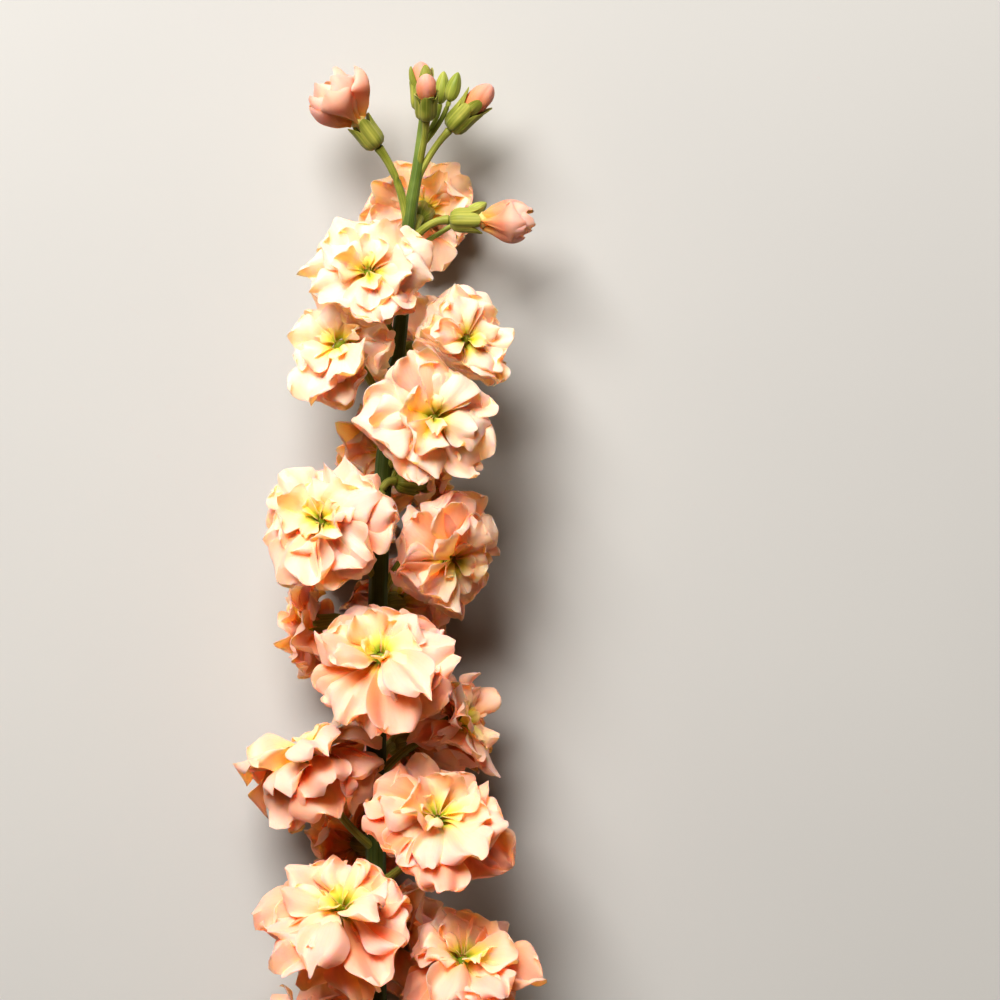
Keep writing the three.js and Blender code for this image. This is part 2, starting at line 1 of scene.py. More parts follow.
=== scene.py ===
"""The looks of a cut stem of double column stock, lying on a table with its tip towards +Y.

Every shape is worked out in millimetres in the layout of the stem and put into its mesh in metres.
"""

import bpy
import numpy as np
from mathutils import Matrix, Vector


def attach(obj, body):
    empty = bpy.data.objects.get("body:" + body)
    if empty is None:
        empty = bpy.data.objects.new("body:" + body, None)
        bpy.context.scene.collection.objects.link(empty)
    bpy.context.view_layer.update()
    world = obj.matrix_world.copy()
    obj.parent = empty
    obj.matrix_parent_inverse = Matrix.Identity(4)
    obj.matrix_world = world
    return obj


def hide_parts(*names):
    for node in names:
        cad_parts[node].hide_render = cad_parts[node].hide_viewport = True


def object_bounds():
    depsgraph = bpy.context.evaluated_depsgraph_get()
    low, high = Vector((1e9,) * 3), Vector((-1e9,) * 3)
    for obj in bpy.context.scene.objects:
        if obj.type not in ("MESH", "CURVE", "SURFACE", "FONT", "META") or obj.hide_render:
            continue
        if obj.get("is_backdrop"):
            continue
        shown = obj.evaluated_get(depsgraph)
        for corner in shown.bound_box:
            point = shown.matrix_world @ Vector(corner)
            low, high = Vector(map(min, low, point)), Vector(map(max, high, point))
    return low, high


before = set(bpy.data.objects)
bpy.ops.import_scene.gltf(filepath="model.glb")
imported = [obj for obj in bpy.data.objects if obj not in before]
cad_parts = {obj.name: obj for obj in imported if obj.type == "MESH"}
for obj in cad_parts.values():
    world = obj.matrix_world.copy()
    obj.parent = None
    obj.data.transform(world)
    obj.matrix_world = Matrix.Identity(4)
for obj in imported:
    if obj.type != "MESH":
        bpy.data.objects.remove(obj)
cad_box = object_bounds()


# The main stem
# One fresh green shoot, round with faint ribs, that grew from the cut foot to the tip. It bows a little and
# thins upwards, and lies with its cut end on the table.

MM = 0.001  # metres in one millimetre
MM_PER_PIXEL = 0.24
AXIS_PIXEL = np.array([380.0, 1000.0])  # the photograph's point at x = 0, y = 0 of the layout
AXIS_HEIGHT = 19.5
FRAME_ORIGIN = np.array([0.2, -0.3, 0.0])  # the part's origin in the layout
UP = np.array([0.0, 0.0, 1.0])
UP_STEM = np.array([0.0, 1.0, 0.0])

# Pixel x and y, height above the table and radius, from the tip down.
STEM_ROUTE = np.array(
    [
        (424, 108, 21, 0.8),
        (418, 165, 20.5, 1.35),
        (410, 215, 20, 1.6),
        (400, 330, AXIS_HEIGHT, 1.75),
        (384, 465, AXIS_HEIGHT, 2.1),
        (378, 600, AXIS_HEIGHT, 2.3),
        (376, 800, AXIS_HEIGHT, 2.4),
        (376, 1000, AXIS_HEIGHT, 2.5),
        (378, 1200, 17, 2.6),
        (380, 1500, 10, 2.75),
        (379, 1940, 3.0, 3.0),
    ]
)
STEM_RIBS = 9
STEM_RIB_DEPTH = 0.03  # share of the radius


def place(pixel, height):
    """The layout point under a pixel of the photograph, at a height above the table."""
    x = (pixel[0] - AXIS_PIXEL[0]) * MM_PER_PIXEL
    y = (AXIS_PIXEL[1] - pixel[1]) * MM_PER_PIXEL
    return np.array([x, y, height])


def unit(vectors):
    """Vectors along the last axis, each divided by its length."""
    return vectors / np.linalg.norm(vectors, axis=-1, keepdims=True)


def smooth(x):
    """0 below 0, 1 above 1, and 3 t^2 - 2 t^3 between."""
    t = np.clip(x, 0, 1)
    return t * t * (3 - 2 * t)


def route_curve(points, steps=120):
    """A centripetal Catmull-Rom curve: between two points a cubic whose end slopes come from the
    neighbours, with spans that go with the square root of the distance. Ends are extended straight."""
    ends = [2 * points[0] - points[1], *points, 2 * points[-1] - points[-2]]
    p0, p1, p2, p3 = (np.array(ends[k : len(ends) - 3 + k])[:, None, :] for k in range(4))
    pairs = ((p0, p1), (p1, p2), (p2, p3))
    d0, d1, d2 = (np.sqrt(np.linalg.norm(b - a, axis=-1, keepdims=True)) for a, b in pairs)
    slope1 = ((p1 - p0) / d0 - (p2 - p0) / (d0 + d1) + (p2 - p1) / d1) * d1
    slope2 = ((p2 - p1) / d1 - (p3 - p1) / (d1 + d2) + (p3 - p2) / d2) * d1
    t = np.linspace(0, 1, steps, endpoint=False)[None, :, None]
    cubic = 2 * p1 - 2 * p2 + slope1 + slope2
    square = -3 * p1 + 3 * p2 - 2 * slope1 - slope2
    curve = ((cubic * t + square) * t + slope1) * t + p1
    return np.vstack([curve.reshape(-1, 3), points[-1]])


stem_points = np.array([place(row[:2], row[2]) for row in STEM_ROUTE])
stem_line = route_curve(stem_points)
route_share = np.linspace(0, len(stem_points) - 1, len(stem_line))
stem_radii = np.interp(route_share, range(len(stem_points)), STEM_ROUTE[:, 3])


def stem_at(y):
    """The point of the stem's axis at a y, and the stem's radius there, read off the curve from the foot up."""
    ys = stem_line[::-1, 1]
    point = np.array([np.interp(y, ys, stem_line[::-1, k]) for k in range(3)])
    return point, np.interp(y, ys, stem_radii[::-1])


def cross_frame(axis):
    """Two unit vectors across an axis, the first as near to the stem's direction as it can be."""
    helper = np.where(np.abs(axis[..., 1:2]) > 0.93, UP, UP_STEM)
    up = unit(helper - axis * np.sum(helper * axis, axis=-1, keepdims=True))
    return up, np.cross(axis, up)


def grid_quads(rows, cols, wrap):
    """The quads of a grid of rows by cols points. A wrapped grid joins its last column to its first."""
    i, j = np.meshgrid(np.arange(rows - 1), np.arange(cols if wrap else cols - 1), indexing="ij")
    a = i * cols + j
    b = i * cols + (j + 1) % cols
    return np.stack([a, b, b + cols, a + cols], axis=-1).reshape(-1, 4)


def tube_grid(line, radii, sides, ribs=0, rib_depth=0.0):
    """Circles carried along a line, of the given radii. Each circle's radius is waved ribs times by rib_depth."""
    up, side = cross_frame(unit(np.gradient(line, axis=0)))
    turn = np.linspace(0, 2 * np.pi, sides, endpoint=False)[None, :, None]
    wave = 1 + rib_depth * np.cos(ribs * turn)
    across = up[:, None, :] * np.cos(turn) + side[:, None, :] * np.sin(turn)
    return line[:, None, :] + np.asarray(radii)[:, None, None] * wave * across


def closed_tube(grid, first, last):
    """A tube grid closed by a fan to one point at each end: points, faces and uv, where u is 0 on one side
    of the tube and 1 on the other, and v goes from the first end to the last."""
    rows, cols, _ = grid.shape
    points = np.vstack([grid.reshape(-1, 3), first, last])
    j = np.arange(cols)
    k = (j + 1) % cols
    top = (rows - 1) * cols
    foot = np.stack([np.full(cols, rows * cols), k, j], axis=-1)
    head = np.stack([np.full(cols, rows * cols + 1), top + j, top + k], axis=-1)
    u = np.tile(1 - np.abs(1 - 2 * j / cols), rows)
    v = np.repeat(np.linspace(0, 1, rows), cols)
    uv = np.vstack([np.stack([u, v], axis=-1), (0, 0), (0, 1)])
    return points, [grid_quads(rows, cols, True), foot, head], uv


def join(parts):
    """Several shapes of points, faces and uv, joined in one."""
    starts = np.cumsum([0] + [len(part[0]) for part in parts])
    faces = [block + start for part, start in zip(parts, starts) for block in part[1]]
    return np.vstack([part[0] for part in parts]), faces, np.vstack([part[2] for part in parts])


def make_piece(name, shape, material, replaced, marks=None):
    """A smooth mesh from a shape in mm, with its uv and named numbers for each point, as a piece that rides on
    the root and stands for a CAD node."""
    points, faces, uv = shape
    corners = np.concatenate([block.ravel() for block in faces]).astype(np.int32)
    sizes = np.concatenate([np.full(len(block), block.shape[1]) for block in faces])
    starts = (np.cumsum(sizes) - sizes).astype(np.int32)
    mesh = bpy.data.meshes.new(name)
    mesh.vertices.add(len(points))
    mesh.vertices.foreach_set("co", ((points - FRAME_ORIGIN) * MM).astype(np.float32).ravel())
    mesh.loops.add(len(corners))
    mesh.loops.foreach_set("vertex_index", corners)
    mesh.polygons.add(len(sizes))
    mesh.polygons.foreach_set("loop_start", starts)
    mesh.update(calc_edges=True)
    mesh.uv_layers.new(name="sheet").data.foreach_set("uv", uv[corners].astype(np.float32).ravel())
    for mark, values in (marks or {}).items():
        mesh.attributes.new(mark, "FLOAT", "POINT").data.foreach_set("value", values.astype(np.float32))
    mesh.shade_smooth()
    mesh.set_sharp_from_angle(angle=np.radians(55))
    mesh.materials.append(material)
    piece = bpy.data.objects.new(name, mesh)
    bpy.context.scene.collection.objects.link(piece)
    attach(piece, "root")
    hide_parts(replaced)
    return piece


def colour(red, green, blue):
    """A screen colour of 0 to 255 a channel as linear light: a power of 2.4 but for the darkest tones."""
    c = np.array([red, green, blue]) / 255
    linear = np.where(c < 0.04045, c / 12.92, ((c + 0.055) / 1.055) ** 2.4)
    return (*linear.tolist(), 1.0)


class Nodes:
    """Adds shader nodes to a tree. An input is given as a value or as another node's output."""

    def __init__(self, tree):
        self.tree = tree

    def feed(self, socket, value):
        """Links an output to a socket, or sets the socket to a plain value."""
        if isinstance(value, bpy.types.NodeSocket):
            self.tree.links.new(value, socket)
        else:
            socket.default_value = value

    def add(self, kind, inputs=None, **settings):
        """A new node of a kind, with its settings and its inputs by name or number."""
        made = self.tree.nodes.new("ShaderNode" + kind)
        for name, value in settings.items():
            setattr(made, name, value)
        for key, value in (inputs or {}).items():
            self.feed(made.inputs[key], value)
        return made

    def math(self, operation, a, b=0.0):
        """One sum on two numbers."""
        return self.add("Math", {0: a, 1: b}, operation=operation).outputs[0]

    def span(self, value, low, high, to_low=0.0, to_high=1.0):
        """A number carried smoothly from low..high to to_low..to_high."""
        reach = {"Value": value, "From Min": low, "From Max": high, "To Min": to_low, "To Max": to_high}
        return self.add("MapRange", reach, interpolation_type="SMOOTHSTEP").outputs[0]

    def mix(self, factor, a, b, blend="MIX"):
        """Colour a turned to colour b by a factor."""
        return self.add("Mix", {0: factor, 6: a, 7: b}, data_type="RGBA", blend_type=blend).outputs[2]

    def noise(self, vector, scale, detail=2.0):
        """Soft noise of about 0.5 at each point of a vector."""
        return self.add("TexNoise", {"Vector": vector, "Scale": scale, "Detail": detail}).outputs[0]

    def ramp(self, factor, stops):
        """The colour at a factor along stops of position and colour."""
        made = self.add("ValToRGB", {"Fac": factor})
        elements = made.color_ramp.elements
        while len(elements) < len(stops):
            elements.new(0.5)
        for element, (position, value) in zip(elements, stops):
            element.position = position
            element.color = value
        return made.outputs[0]


def new_material(name):
    """A material with an empty tree but for its Principled shader, with the tools to build it."""
    material = bpy.data.materials.new(name)
    material.use_nodes = True
    material.node_tree.nodes.clear()
    nodes = Nodes(material.node_tree)
    skin = nodes.add("BsdfPrincipled")
    nodes.add("OutputMaterial", {"Surface": skin.outputs[0]})
    return material, nodes, skin


def new_group(name, takes, gives):
    """A node group with named inputs, each with its kind and first value, and named outputs with their kinds."""
    group = bpy.data.node_groups.new(name, "ShaderNodeTree")
    for socket, kind, value in takes:
        group.interface.new_socket(socket, in_out="INPUT", socket_type=kind).default_value = value
    for socket, kind in gives:
        group.interface.new_socket(socket, in_out="OUTPUT", socket_type=kind)
    source = group.nodes.new("NodeGroupInput")
    sink = group.nodes.new("NodeGroupOutput")
    return group, Nodes(group), source, sink


# The green rind that the stem, the stalks, the sepals and the leaves share: long pale fibres, soft blotches and
# a fine down. Below the tip the stem alone takes painted shade, a darker green where the blooms shade it.
rind, rind_nodes, rind_in, rind_out = new_group(
    "green_rind",
    [
        ("Deep", "NodeSocketColor", colour(92, 122, 58)),
        ("Pale", "NodeSocketColor", colour(158, 178, 104)),
        ("Fibre scale", "NodeSocketFloat", 20.0),
        ("Down", "NodeSocketFloat", 0.3),
        ("Painted shade", "NodeSocketFloat", 0.0),
    ],
    [("Color", "NodeSocketColor"), ("Roughness", "NodeSocketFloat"), ("Normal", "NodeSocketVector")],
)
rind_place = rind_nodes.add("TexCoord").outputs["Object"]
rind_uv = rind_nodes.add("UVMap", uv_map="sheet").outputs[0]
rind_long = rind_nodes.add("Mapping", {"Vector": rind_uv, "Scale": (1.0, 0.05, 1.0)}).outputs[0]
fibres = rind_nodes.noise(rind_long, rind_in.outputs["Fibre scale"], 3.0)
blotches = rind_nodes.noise(rind_place, 160.0)
speckle = rind_nodes.noise(rind_place, 5200.0, 1.0)
rind_mixed = rind_nodes.math(
    "ADD", rind_nodes.span(fibres, 0.35, 0.7, 0, 0.5), rind_nodes.span(blotches, 0.3, 0.7, 0, 0.4)
)
rind_colour = rind_nodes.mix(rind_mixed, rind_in.outputs["Deep"], rind_in.outputs["Pale"])
rind_along = rind_nodes.add("SeparateXYZ", {0: rind_uv}).outputs[1]
# Painted shade: below the tip the rind is multiplied by a darker green, for the blooms' shadow on the stem.
painted_shade = rind_nodes.math("MULTIPLY", rind_nodes.span(rind_along, 0.15, 0.27), rind_in.outputs["Painted shade"])
painted_shade_colour = rind_nodes.mix(1.0, rind_colour, (0.42, 0.46, 0.36, 1.0), "MULTIPLY")
rind_nodes.feed(rind_out.inputs["Color"], rind_nodes.mix(painted_shade, rind_colour, painted_shade_colour))
rind_nodes.feed(rind_out.inputs["Roughness"], rind_nodes.span(blotches, 0.3, 0.7, 0.42, 0.6))
rind_relief = rind_nodes.math("ADD", fibres, rind_nodes.math("MULTIPLY", speckle, rind_in.outputs["Down"]))
rind_bump = rind_nodes.add("Bump", {"Height": rind_relief, "Strength": 0.25, "Distance": 0.0003}).outputs[0]
rind_nodes.feed(rind_out.inputs["Normal"], rind_bump)


def green_material(name, deep, pale, fibre_scale, down, sheen):
    """The green rind in two greens, with a constant sheen for its down, and a little light let through."""
    material, nodes, skin = new_material(name)
    skin_rind = nodes.add("Group", node_tree=rind)
    for socket, value in (("Deep", deep), ("Pale", pale), ("Fibre scale", fibre_scale), ("Down", down)):
        skin_rind.inputs[socket].default_value = value
    nodes.feed(skin.inputs["Base Color"], skin_rind.outputs["Color"])
    nodes.feed(skin.inputs["Roughness"], skin_rind.outputs["Roughness"])
    nodes.feed(skin.inputs["Normal"], skin_rind.outputs["Normal"])
    skin.inputs["Sheen Weight"].default_value = sheen
    skin.inputs["Subsurface Weight"].default_value = 0.15
    skin.inputs["Subsurface Radius"].default_value = (0.8, 1.0, 0.3)
    skin.inputs["Subsurface Scale"].default_value = MM
    return material


stem_green = green_material("stem_green", colour(104, 126, 56), colour(162, 178, 94), 22.0, 0.3, 0.1)
# Only the main stem takes the painted shade below its tip.
stem_green.node_tree.nodes["Group"].inputs["Painted shade"].default_value = 1.0
stem_sections = tube_grid(stem_line[::6], stem_radii[::6], 36, STEM_RIBS, STEM_RIB_DEPTH)
stem_shape = closed_tube(stem_sections, stem_line[0], stem_line[-1])
make_piece("main_stem", stem_shape, stem_green, "stem")


# The stalks and calyces
# Each bloom stands on its own thin stalk in a calyx of four narrow green sepals, pressed into a cup. They
# grew out of the stem, and hold the claws of the petals.

EYE_HEIGHT = 10  # from the foot of a calyx to the eye of its bloom
STALK_RADIUS = 0.95
FULL_CALYX = 2.9  # radius of a bud whose calyx has the full size

# Eye pixel, distance in front of the axis, direction faced, radius, fold, turn and drop of the stalk.
BLOOMS = {
    "bloom_01": ((424, 208), -14, (0.12, 0.25, -0.95), 14, 4, 20, 9),
    "bloom_02": ((370, 274), 19, (-0.1, 0.2, 0.97), 16, 8, 12, 17),
    "bloom_03": ((466, 340), 14, (0.45, 0.1, 0.85), 15, 10, 40, 12),
    "bloom_04": ((339, 346), 12, (-0.42, 0.38, 0.82), 16, 10, 50, 14),
    "bloom_05": ((434, 418), 22, (0.22, 0.1, 0.97), 18, 2, 5, 12),
    "bloom_06": ((432, 487), -3, (0.62, -0.1, -0.3), 14.5, 8, 55, 10),
    "bloom_07": ((322, 520), 20, (-0.4, 0.3, 0.87), 19.5, 6, 30, 12),
    "bloom_08": ((452, 558), 13, (0.5, -0.3, 0.75), 18, 14, 0, 14),
    "bloom_09": ((306, 628), -5, (-0.85, -0.1, -0.3), 15, 8, 15, 10),
    "bloom_10": ((382, 655), 23, (0, 0.55, 0.83), 20, 4, 60, 12),
    "bloom_11": ((462, 722), 7, (0.8, 0.35, 0.35), 17, 14, 35, 10),
    "bloom_12": ((309, 754), 8, (-0.42, 0.86, 0.05), 22, 40, 10, 14),
    "bloom_13": ((437, 815), 23, (0.2, 0.5, 0.84), 20.5, 5, 48, 12),
    "bloom_14": ((343, 905), 23, (-0.12, 0.66, 0.74), 22, 10, 25, 12),
    "bloom_15": ((464, 955), 21, (0.18, 0.65, 0.74), 19.5, 4, 50, 12),
    "bloom_16": ((356, 845), -14, (-0.4, 0.05, -0.9), 15.5, 4, 33, 10),
    "bloom_17": ((386, 452), -14, (-0.25, 0.1, -0.95), 15, 4, 66, 10),
    "bloom_18": ((398, 604), -15, (0.35, 0, -0.93), 16, 4, 8, 10),
    "bloom_19": ((424, 352), -13, (0.5, 0, -0.85), 14.5, 4, 50, 10),
    "bloom_20": ((304, 1034), 8, (-0.75, 0.3, 0.45), 18, 10, 5, 10),
    "bloom_21": ((410, 745), -15, (0.45, 0.05, -0.9), 16.5, 4, 28, 10),
    "bloom_22": ((392, 935), -15, (0.2, 0.1, -0.95), 17, 4, 44, 10),
    "bloom_23": ((340, 540), -13, (-0.55, 0.05, -0.8), 15.5, 4, 60, 10),
    "bloom_24": ((430, 1070), 20, (0.35, 0.4, 0.8), 19, 8, 18, 12),
    "bloom_25": ((352, 1125), 19, (-0.35, 0.35, 0.85), 18.5, 10, 52, 12),
    "bloom_26": ((380, 1085), -15, (-0.25, 0.1, -0.95), 17, 4, 38, 10),
}

# The same for the half-open blooms, with the share of a full bloom's spread in place of the fold.
HALF_OPEN = {
    "bud_left": ((354, 116), 3, (-0.6, 0.78, 0.2), 11, 0.56, 250, 20),
    "bud_right": ((490, 221), 4, (0.99, -0.02, 0.1), 9.5, 0.4, 30, 7),
}

# Closed buds: foot pixel, distance in front of the axis, direction, radius, length and drop of the stalk.
TIP_BUDS = {
    "bud_tip_1": ((422, 112), -1.5, (-0.02, 1, -0.15), 2.9, 6.5, 11),
    "bud_tip_2": ((426, 122), 4, (0.02, 0.9, 0.45), 2.9, 6.5, 11),
    "bud_tip_3": ((449, 131), 1, (0.68, 0.7, 0.2), 3.4, 7.5, 13),
}
SEPAL_COVER = {"bud_tip_1": 0.7, "bud_tip_2": -0.1, "bud_tip_3": 0.3}  # share of each drop under its sepals
GREEN_BUDS = {
    "green_bud_1": ((440, 104), -2, (0.12, 1, 0.1), 1.8, 8, 9),
    "green_bud_2": ((449, 102), 0, (0.3, 0.95, 0.15), 1.8, 7.5, 11),
    "green_bud_3": ((466, 216), -3, (0.75, 0.5, -0.1), 1.7, 6, 9),
}


def stand_at(pixel, front, faces, from_eye):
    """The foot, axis and cross directions of a flower, from the pixel of its eye or of its foot."""
    axis = unit(np.array(faces, float))
    level = stem_at(min(place(pixel, 0)[1], stem_line[0, 1]))[0][2]
    spot = place(pixel, level + front)
    foot = spot - axis * EYE_HEIGHT if from_eye else spot
    up, side = cross_frame(axis)
    return {"foot": foot, "axis": axis, "up": up, "side": side}


def along(stand, heights):
    """Points at heights above a flower's foot, along its axis."""
    return stand["foot"] + np.asarray(heights)[..., None] * stand["axis"]


def stalk_line(stand, drop, steps=16):
    """A quadratic Bezier curve from inside the stem to the flower's foot, which it reaches along its axis."""
    foot = stand["foot"]
    start, _ = stem_at(foot[1] - drop)
    bend = foot - stand["axis"] * 0.45 * np.linalg.norm(foot - start)
    bend[2] = max(bend[2], 3)
    t = np.linspace(0, 1, steps)[:, None]
    return (1 - t) ** 2 * start + 2 * t * (1 - t) * bend + t**2 * foot


def calyx_grid(stand, size, sides=48):
    """The cup of four sepals: rings of set heights and radii, outside and then inside. Towards the rim
    the height goes up in four lobes, and between the sepals the wall dips in."""
    turn = np.linspace(0, 2 * np.pi, sides, endpoint=False)[None, :]
    heights = np.array([0.5, 1.3, 2.4, 3.8, 5.0, 5.9, 6.25, 6.2, 5.6, 4.2, 2.6, 1.4])[:, None]
    radii = np.array([1.7, 2.45, 2.7, 2.72, 2.68, 2.72, 2.7, 2.4, 2.15, 1.95, 1.85, 1.0])[:, None]
    rim = smooth((heights - 3.5) / 2.7)
    seam = np.abs(np.sin(2 * turn)) ** 6
    rise = heights + rim * 1.15 * (np.abs(np.cos(2 * turn)) ** 0.8 * 2 - 1) * (1 + 0.15 * np.sin(turn * 3))
    wide = radii * (1 - 0.12 * seam) + 0.25 * rim * np.cos(2 * turn) ** 2
    wide = np.minimum(wide, 2.95)
    centre = along(stand, rise * size)
    radial = stand["up"] * np.cos(turn)[..., None] + stand["side"] * np.sin(turn)[..., None]
    return centre + radial * (wide * size)[..., None]


def stalk_and_calyx(stand, drop, radius, size):
    """A stalk that widens a little at both ends, run into the cup of sepals."""
    line = stalk_line(stand, drop)
    share = np.linspace(0, 1, len(line))
    radii = radius * (1 + 0.25 * (1 - share) ** 4 + 0.3 * share**8)
    stalk = tube_grid(line, radii, 14)
    stalk_shape = closed_tube(stalk, line[0], along(stand, 0.9 * size))
    cup_shape = closed_tube(calyx_grid(stand, size), along(stand, 0.1 * size), along(stand, 1.2 * size))
    return join([stalk_shape, cup_shape])


sepal_green = green_material("sepal_green", colour(128, 140, 48), colour(212, 208, 112), 16.0, 0.5, 0.2)
for name, (pixel, front, faces, *_, drop) in {**BLOOMS, **HALF_OPEN}.items():
    size = 1.12 if name in HALF_OPEN else 1.0
    shape = stalk_and_calyx(stand_at(pixel, front, faces, True), drop, STALK_RADIUS, size)
    make_piece(name + "_calyx", shape, sepal_green, "stem")
for name, (pixel, front, faces, radius, _, drop) in TIP_BUDS.items():
    shape = stalk_and_calyx(stand_at(pixel, front, faces, False), drop, 0.8, radius / FULL_CALYX)
    make_piece(name + "_calyx", shape, sepal_green, "stem")


# The double blooms
# Each is a rosette of thin soft petals in whorls, yellow green at the claw, cream and then peach, with blushing
# waved edges. The petals spring from a short neck in the calyx and bend clear of the neighbours.

PETAL_THICK = 0.26
CAD_THICK = 0.8
CLEARANCE = 0.35
FLAT_SPOT = 0.25
FLOOR_SOFTNESS = 1.2
CROWD_SOFTNESS = 4.0
CROWD_RIPPLE = 1.6  # how far the border between two blooms waves to either side
FIRST_WHORL = 8.2  # height of the outermost whorl above the calyx's foot
YOUNG_BREADTH = 0.25  # how much broader the fewer petals of the youngest blooms are
OUTER_GROWTH = 0.5  # how much longer the petals of a bloom's open side grow than those by the stem
PETAL_ROWS = 17
PETAL_COLS = 17

# Order of the whorl, petals, lift, reach, half width, curl, cup, wave, layer, rise and hub. The CAD model has
# the whorls of whole orders.
WHORLS = [
    (0.0, 6, 106, 0.98, 0.40, 26, -0.20, 0.24, 8, 0.0, 2.3),
    (0.5, 6, 92, 0.94, 0.38, 24, -0.12, 0.26, 8, 0.5, 2.1),
    (1.0, 6, 76, 0.82, 0.36, 24, 0.00, 0.26, 8, 1.1, 1.9),
    (1.5, 5, 62, 0.62, 0.28, 26, 0.05, 0.26, 8, 1.7, 1.5),
    (2.0, 3, 46, 0.34, 0.13, 30, 0.15, 0.20, 10, 2.2, 1.1),
]
HALF_OPEN_WHORLS = [
    (0.0, 5, 112, 1.20, 0.52, -96, 0.60, 0.03, 8, 0.0, 2.3),
    (0.5, 5, 98, 1.16, 0.48, -84, 0.55, 0.04, 8, 0.4, 2.0),
    (1.0, 3, 70, 1.26, 0.44, -62, 0.40, 0.05, 6, 0.9, 1.6),
    (1.5, 3, 44, 0.90, 0.34, -34, 0.30, 0.08, 6, 1.3, 1.3),
]


def chance(seed, k):
    """A number from 0 to 1 that depends only on two seeds: the fraction of a large multiple of a sine."""
    x = np.sin(seed * 12.9898 + k * 78.233) * 43758.5453
    return x - np.floor(x)


def full_stand(name, order_number, pixel, front, faces, radius, spread, turn):
    """A bloom's stand with its size and its turn. Its heart is where its sphere of petals is centred."""
    stand = stand_at(pixel, front, faces, True)
    opened = name.startswith("bloom")
    stand.update(
        name=name,
        heart=along(stand, EYE_HEIGHT - 2),
        radius=radius,
        youth=float(smooth((stand["foot"][1] - 90) / 60)) if opened else 0.0,
        age=float(1 - smooth((stand["foot"][1] - 10) / 150)) if opened else 0.5,
        open=1.0 if opened else spread,
        fold=spread if opened else 0.0,
        turn=np.radians(turn),
        seed=order_number + 1,
    )
    return stand


stands = [full_stand(name, k, *row[:6]) for k, (name, row) in enumerate({**BLOOMS, **HALF_OPEN}.items())]


def partings(own):
    """The planes between a bloom and its neighbours, each where their two spheres of petals meet, and the
    side that the bloom is on."""
    found = []
    for other in stands:
        apart = other["heart"] - own["heart"]
        distance = np.linalg.norm(apart)
        if other is own or distance > own["radius"] + other["radius"] + 8:
            continue
        share = (distance**2 + own["radius"] ** 2 - other["radius"] ** 2) / (2 * distance)
        found.append((apart / distance, share - CLEARANCE / 2, np.sign(other["seed"] - own["seed"])))
    return found


def ease(value, limit, soft):
    """value held under limit: past limit - soft it nears the limit by an exponential."""
    start = limit - soft
    return np.where(value <= start, value, limit - soft * np.exp(-(np.maximum(value, start) - start) / soft))


def settle(points, stand, margin):
    """Points bent clear of the neighbours and of the table, twice over. The border with a neighbour is their
    plane, waved by a product of two sines of the place, which both of them share."""
    points = points.copy()
    for _ in range(2):
        for normal, offset, side in partings(stand):
            reach = (points - stand["heart"]) @ normal
            x, y, z = np.moveaxis(points, -1, 0)
            ripple = side * CROWD_RIPPLE * np.sin(0.55 * x + 0.3 * z) * np.sin(0.5 * y - 0.35 * z)
            points += (ease(reach, offset - margin + ripple, CROWD_SOFTNESS) - reach)[..., None] * normal
        points[..., 2] = -ease(-points[..., 2], FLAT_SPOT - margin, FLOOR_SOFTNESS)
    return points


